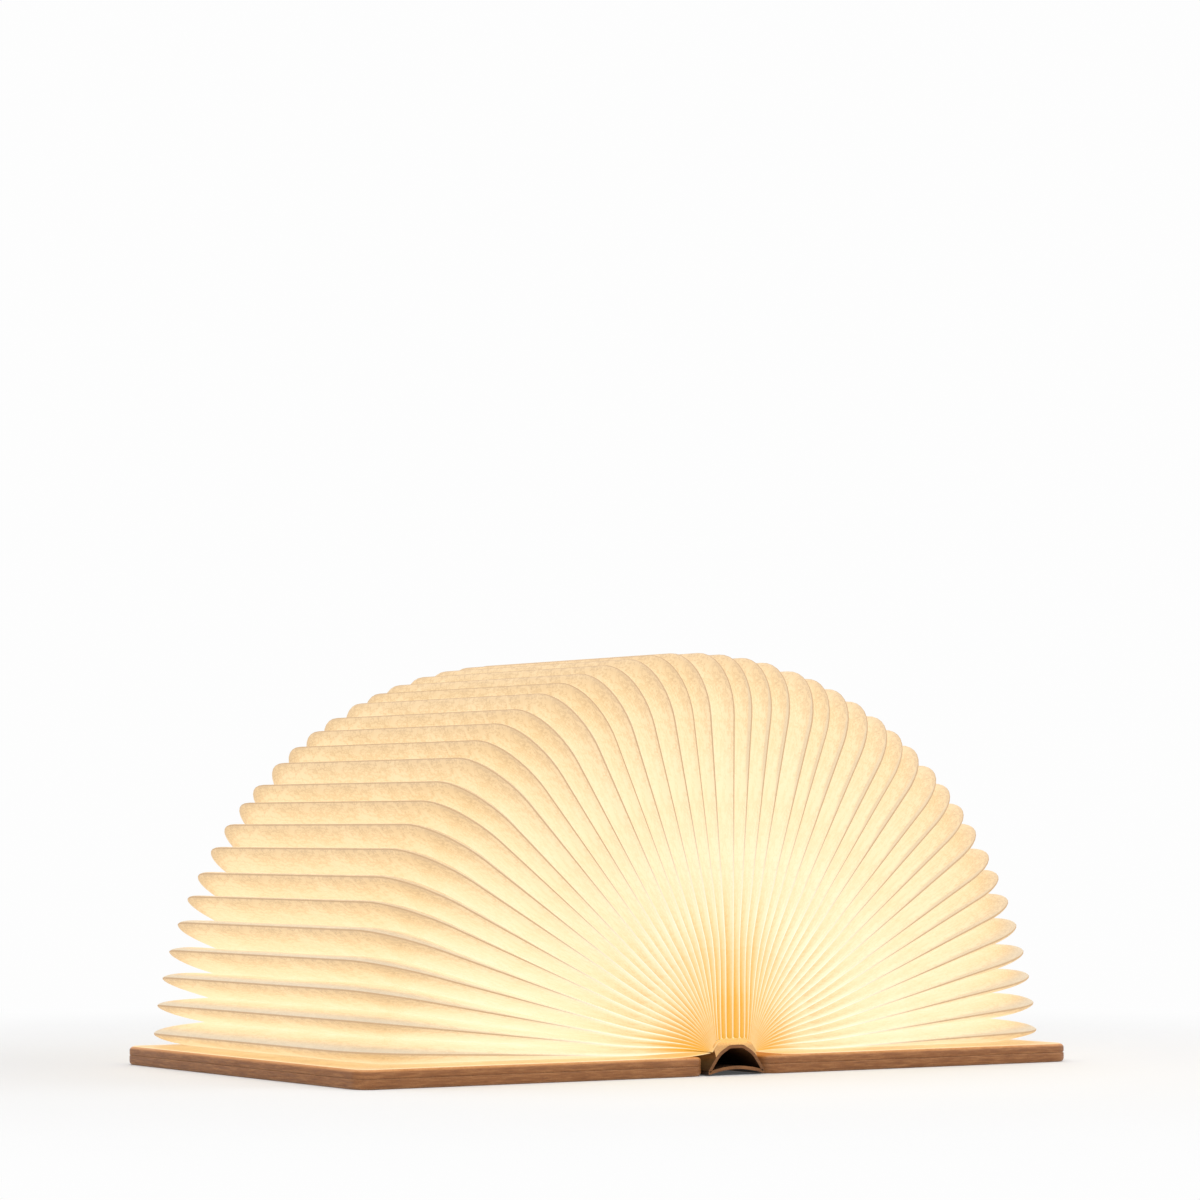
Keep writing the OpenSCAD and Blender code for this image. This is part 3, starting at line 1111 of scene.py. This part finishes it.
@dataclass
class PageBlock:
    """All the pleats of the fan."""

    finish: bpy.types.Material
    fan: Fan = field(default_factory=Fan)

    def build(self) -> list[bpy.types.Object]:
        """Build the leaves from left to right.

        Returns:
            The leaves.
        """
        side = self.fan.side_count
        made = [Leaf(self.fan, k, self.finish).build() for k in range(-side, side + 1)]
        return made + [EndPage(side, self.finish, self.fan).build() for side in Side]


# ----------------------------------------------------------------------- spine


@dataclass
class Spine:
    """The strip between the covers, a flat tube of an arch and a low band, in halves."""

    finish: bpy.types.Material
    gap: float = 15.0
    rise: float = 13.0
    thickness: float = 1.4
    land: float = 4.0
    foot: tuple[float, float] = (14.6, 2.2)
    slope: float = 55.0
    band_rise: float = 2.3
    band_z: float = 0.3
    half_y: float = 107.5

    def arch(self) -> list[tuple[float, float]]:
        """Return X and Z along the arch's upper face, from the middle to the foot."""
        s, c = math.sin(math.radians(self.slope)), math.cos(math.radians(self.slope))
        radius = (self.foot[0] * s - (self.rise - self.foot[1]) * c) / (1 - c)
        centre = self.rise - radius
        first = self.land + 1.6
        points = [(x, self.rise - 0.02 * x) for x in (0.0, 1.3, 2.6)]
        points += [(3.7, self.rise - 0.2), (4.7, self.rise - 0.62)]
        start = math.asin(first / radius)
        for i in range(12):
            a = start + (math.radians(self.slope) - start) * i / 11
            points.append((radius * math.sin(a), centre + radius * math.cos(a)))
        knee = points[-1]
        for i in range(1, 7):
            t = i / 6
            points.append(
                (
                    knee[0] + (self.foot[0] - knee[0]) * t,
                    knee[1] + (self.foot[1] - knee[1]) * t,
                )
            )
        return points

    def band(self) -> list[tuple[float, float]]:
        """Return X and Z along the low band's upper face, from the middle to its end."""
        radius = (self.gap**2 + self.band_rise**2) / (2 * self.band_rise)
        top = self.band_z + self.band_rise + self.thickness
        points = []
        for i in range(17):
            x = (self.gap - 0.25) * i / 16
            points.append((x, top - radius + math.sqrt(radius**2 - x**2)))
        return points

    def build(self) -> list[bpy.types.Object]:
        """Build the arch and the band, each as a left and a right half.

        Returns:
            The pieces.
        """
        made = []
        rows_y = (-1, -0.99, -0.9, -0.5, 0, 0.5, 0.9, 0.99, 1)
        for side in Side:
            for word, path in (("arch", self.arch()), ("band", self.band())):
                rows = [
                    [
                        (side.value * x * MM, side.value * y * self.half_y * MM, z * MM)
                        for x, z in path
                    ]
                    for y in rows_y
                ]
                thing = sheet_mesh(f"{side.word}_spine_{word}", rows, self.thickness * MM)
                close_piece(thing, self.finish, "", (), 40)
                first = path[4] if word == "arch" else path[1]
                last = path[-4] if word == "arch" else path[-3]
                side.cover
                side.value * first[0] * MM
                first[1] * MM
                side.value * last[0] * MM
                last[1] * MM
                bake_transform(thing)
                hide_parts("spine_strip")
                made.append(thing)
        return made


@dataclass
class Binding:
    """Where the page roots meet the strip at the near end: a notched cap and two liners."""

    fan: Fan
    spine: Spine
    finish: bpy.types.Material
    liner_finish: bpy.types.Material
    half_width: float = 10.6
    front: float = 107.4
    back: float = 104.9

    def _strip_top(self, x: float) -> float:
        """Return the height of the arch's upper face."""
        path = self.spine.arch()
        for (x0, z0), (x1, z1) in zip(path, path[1:]):
            if x0 <= abs(x) <= x1:
                return z0 + (z1 - z0) * (abs(x) - x0) / (x1 - x0)
        return path[-1][1]

    def _top(self, x: float) -> float:
        """Return the height of the cap's notched edge, with a point at each ridge."""
        k = min(
            (n / 20 for n in range(-220, 221)),
            key=lambda n: abs(self.fan.near_root(n)[0] - x),
        )
        near = min(abs(x - self.fan.near_root(n)[0]) for n in range(-2, 3))
        return self.fan.near_root(k)[1] + 0.15 + 0.7 * math.exp(-((near / 0.6) ** 2))

    def _cap(self) -> bpy.types.Object:
        """Fold the cap over the front of the arch."""
        xs = [self.half_width * (i / 60 - 1) for i in range(121)]
        rows = []
        for t in (0.0, 0.2, 0.45, 0.7, 0.85, 1.0):
            row = []
            for x in xs:
                low = self._strip_top(x) + 0.02
                end = smooth(9.4, self.half_width, abs(x))
                high = self._top(x) - 0.7 * end
                z = low + (high - low) * t
                bulge = 0.3 * math.sin(math.pi * t)
                y = -(self.front + (self.back - self.front) * t) - bulge
                row.append((x * MM, y * MM, z * MM))
            rows.append(row)
        thing = sheet_mesh("root_cap", rows, 0.25 * MM)
        return close_piece(thing, self.finish, "core", (), 60)

    def _liner(self, side: Side) -> bpy.types.Object:
        """Lay a liner under the gathered roots, from the cap down towards the cover."""
        path = []
        for i in range(15):
            x, z = self.fan.near_root(2.8 + 16.4 * (i / 14) ** 1.5)
            path.append((x - 0.42, z - 0.42))
        rows = [
            [(side.value * x * MM, side.value * y * MM, z * MM) for x, z in path]
            for y in ([-106, -100, -90, -83] if side.value > 0 else [83, 90, 100, 106])
        ]
        thing = sheet_mesh(f"{side.word}_liner", rows, 0.3 * MM)
        for key, value in (("glow", 0.3), ("warm", 0.5), ("fold", 5.0)):
            mark = thing.data.attributes.new(key, "FLOAT", "POINT")
            mark.data.foreach_set("value", [value] * len(thing.data.vertices))
        return close_piece(thing, self.liner_finish, "core", (), 50)

    def build(self) -> list[bpy.types.Object]:
        """Build the cap and both liners.

        Returns:
            The pieces.
        """
        return [self._cap()] + [self._liner(side) for side in Side]


# ------------------------------------------------------------------------ core


@dataclass
class Core:
    """The rail, the housing and the lighting parts: CAD solids that keep their shape."""

    finishes: dict[str, PlainFinish] = field(
        default_factory=lambda: {
            "core_rail": PlainFinish(
                "rail_moulding", hue(96, 66, 44), hue(78, 52, 34), 0.5, grain=1400
            ),
            "core_housing": PlainFinish(
                "housing_moulding", hue(238, 234, 224), hue(228, 222, 210), 0.42, grain=1600
            ),
            "diffuser": PlainFinish(
                "frosted_tube",
                hue(250, 246, 232),
                hue(244, 236, 214),
                0.6,
                grain=700,
                glow=(0.95, 0.82, 0.52),
            ),
            "led_board": PlainFinish(
                "white_solder_mask", hue(236, 238, 234), hue(222, 226, 222), 0.35, grain=2200
            ),
            "leds": PlainFinish(
                "lit_phosphor",
                hue(250, 222, 120),
                hue(246, 206, 92),
                0.4,
                grain=3000,
                glow=(1.0, 0.9, 0.62),
            ),
            "battery_cell": PlainFinish(
                "cell_sleeve", hue(72, 108, 148), hue(60, 94, 132), 0.28, grain=500
            ),
            "charge_board": PlainFinish(
                "green_solder_mask", hue(34, 92, 62), hue(26, 74, 50), 0.32, grain=2600
            ),
            "usb_socket": PlainFinish(
                "nickel_shell",
                hue(196, 196, 192),
                hue(172, 172, 168),
                0.26,
                metallic=1.0,
                grain=1800,
                stretch=(1, 0.1, 1),
            ),
            "left_magnets": PlainFinish(
                "nickel_disc", hue(188, 188, 186), hue(160, 160, 158), 0.3, metallic=1.0
            ),
        }
    )

    def build(self) -> None:
        """Give each carried CAD node its finish."""
        for name, finish in self.finishes.items():
            paint = finish.make()
            names = [name, "right_magnets"] if name == "left_magnets" else [name]
            for node in names:
                self._paint(frame["nodes"][node], paint)
                log.info("%s: %s", node, finish.name)

    @staticmethod
    def _paint(thing: bpy.types.Object, paint: bpy.types.Material) -> None:
        """Put one material on all of a CAD node's slots."""
        if not thing.material_slots:
            thing.data.materials.append(paint)
        for slot in thing.material_slots:
            slot.material = paint


# ---------------------------------------------------------------------- studio


@dataclass
class Studio:
    """The floor, the light and the camera, as in the photograph."""

    yaw: float = 33.0
    distance: float = 1.77
    height: float = 0.104
    lens: float = 117.0
    horizon: float = 232.0

    def _floor(self) -> None:
        """Lay a white floor that keeps the object's shadow and runs out into white."""
        deselect()
        bpy.ops.mesh.primitive_grid_add(x_subdivisions=40, y_subdivisions=40, size=12)
        floor = bpy.context.object
        floor.name = "studio_floor"
        g = Graph("studio_floor")
        place = g.place()
        spread = g.node("ShaderNodeVectorMath", {"operation": "LENGTH"}, {0: place})
        away = Signal(g, spread.outputs["Value"]).above(0.26, 0.62)
        path = g.node("ShaderNodeLightPath")
        seen = Signal(g, path.outputs["Is Camera Ray"]) + Signal(
            g, path.outputs["Is Glossy Ray"]
        )
        g.finish(
            Base_Color=(0.80, 0.80, 0.80),
            Roughness=0.9,
            Specular_IOR_Level=0.0,
            Emission_Color=(1, 1, 1),
            Emission_Strength=seen * 0.06,
        )
        glow = g.node(
            "ShaderNodeEmission", None, {"Color": (1, 1, 1), "Strength": 0.985}
        )
        blend = g.node(
            "ShaderNodeMixShader",
            None,
            {
                0: away * seen,
                1: Signal(g, g.shader.outputs[0]),
                2: Signal(g, glow.outputs[0]),
            },
        )
        g.tree.links.new(blend.outputs[0], g.output.inputs[0])
        floor.data.materials.append(g.material)

    def _world(self) -> None:
        """Light the object evenly, and show white behind it."""
        world = bpy.data.worlds.new("studio")
        bpy.context.scene.world = world
        world.use_nodes = True
        tree = world.node_tree
        tree.nodes.clear()
        path = tree.nodes.new("ShaderNodeLightPath")
        add = tree.nodes.new("ShaderNodeMath")
        add.operation = "ADD"
        add.use_clamp = True
        tree.links.new(path.outputs["Is Camera Ray"], add.inputs[0])
        tree.links.new(path.outputs["Is Glossy Ray"], add.inputs[1])
        level = tree.nodes.new("ShaderNodeMapRange")
        level.inputs["To Min"].default_value = 0.52
        level.inputs["To Max"].default_value = 0.985
        tree.links.new(add.outputs[0], level.inputs["Value"])
        sky = tree.nodes.new("ShaderNodeBackground")
        sky.inputs["Color"].default_value = (1, 1, 1, 1)
        tree.links.new(level.outputs[0], sky.inputs["Strength"])
        out = tree.nodes.new("ShaderNodeOutputWorld")
        tree.links.new(sky.outputs[0], out.inputs[0])

    @staticmethod
    def _softbox(name: str, place: Point, size: float, power: float) -> None:
        """Hang a square softbox that looks at the lamp."""
        light = bpy.data.lights.new(name, "AREA")
        light.energy, light.size = power, size
        thing = bpy.data.objects.new(name, light)
        thing.location = place
        thing.rotation_euler = (
            (Vector((0, 0, 0.06)) - Vector(place)).to_track_quat("-Z", "Y").to_euler()
        )
        bpy.context.scene.collection.objects.link(thing)

    def _camera(self) -> None:
        """Set the camera at the photograph's viewing angle."""
        yaw = math.radians(self.yaw)
        data = bpy.data.cameras.new("camera")
        data.lens, data.sensor_width = self.lens, 36.0
        data.clip_start, data.clip_end = 0.05, 60
        thing = bpy.data.objects.new("camera", data)
        back = Vector((-math.sin(yaw), -math.cos(yaw), 0))
        thing.location = back * self.distance + Vector((0, 0, self.height))
        up = math.atan(self.horizon / (self.lens / 36 * 1200))
        way = -back * math.cos(up) + Vector((0, 0, math.sin(up)))
        thing.rotation_mode = "QUATERNION"
        thing.rotation_quaternion = way.to_track_quat("-Z", "Y")
        bpy.context.scene.collection.objects.link(thing)
        bpy.context.scene.camera = thing

    def build(self) -> None:
        """Set up camera, floor, world and softboxes."""
        self._camera()
        self._floor()
        self._world()
        self._softbox("key_box", (-1.4, -1.9, 1.9), 1.6, 34)
        self._softbox("fill_box", (2.0, -1.3, 1.4), 1.8, 18)
        self._softbox("top_box", (0.1, 0.6, 2.2), 1.8, 16)
        bpy.context.scene.view_settings.view_transform = "Standard"


# ------------------------------------------------------------------------ main


def main() -> None:
    """Build the lamp piece by piece."""
    logging.basicConfig(level=logging.INFO, format="%(message)s")
    Studio().build()
    face = WoodFinish("cover_wood").make()
    # the inner ply's wood, with the lamp's orange light painted on its top
    rim = WoodFinish("inner_wood", warm_rim=0.5).make()
    strip = WoodFinish(
        "strip_veneer",
        hue(132, 88, 54),
        hue(104, 66, 38),
        hue(70, 42, 22),
        hue(122, 80, 46),
        hue(160, 110, 66),
        shade=0.85,
    ).make()
    paper = PaperFinish("lit_paper").make()
    binding = RootFinish("root_paper").make()
    pages = PageBlock(paper)
    for side in Side:
        Cover(side, face, rim).build()
    spine = Spine(strip)
    spine.build()
    Binding(pages.fan, spine, binding, paper).build()
    pages.build()
    Core().build()


if __name__ == "__main__":
    main()
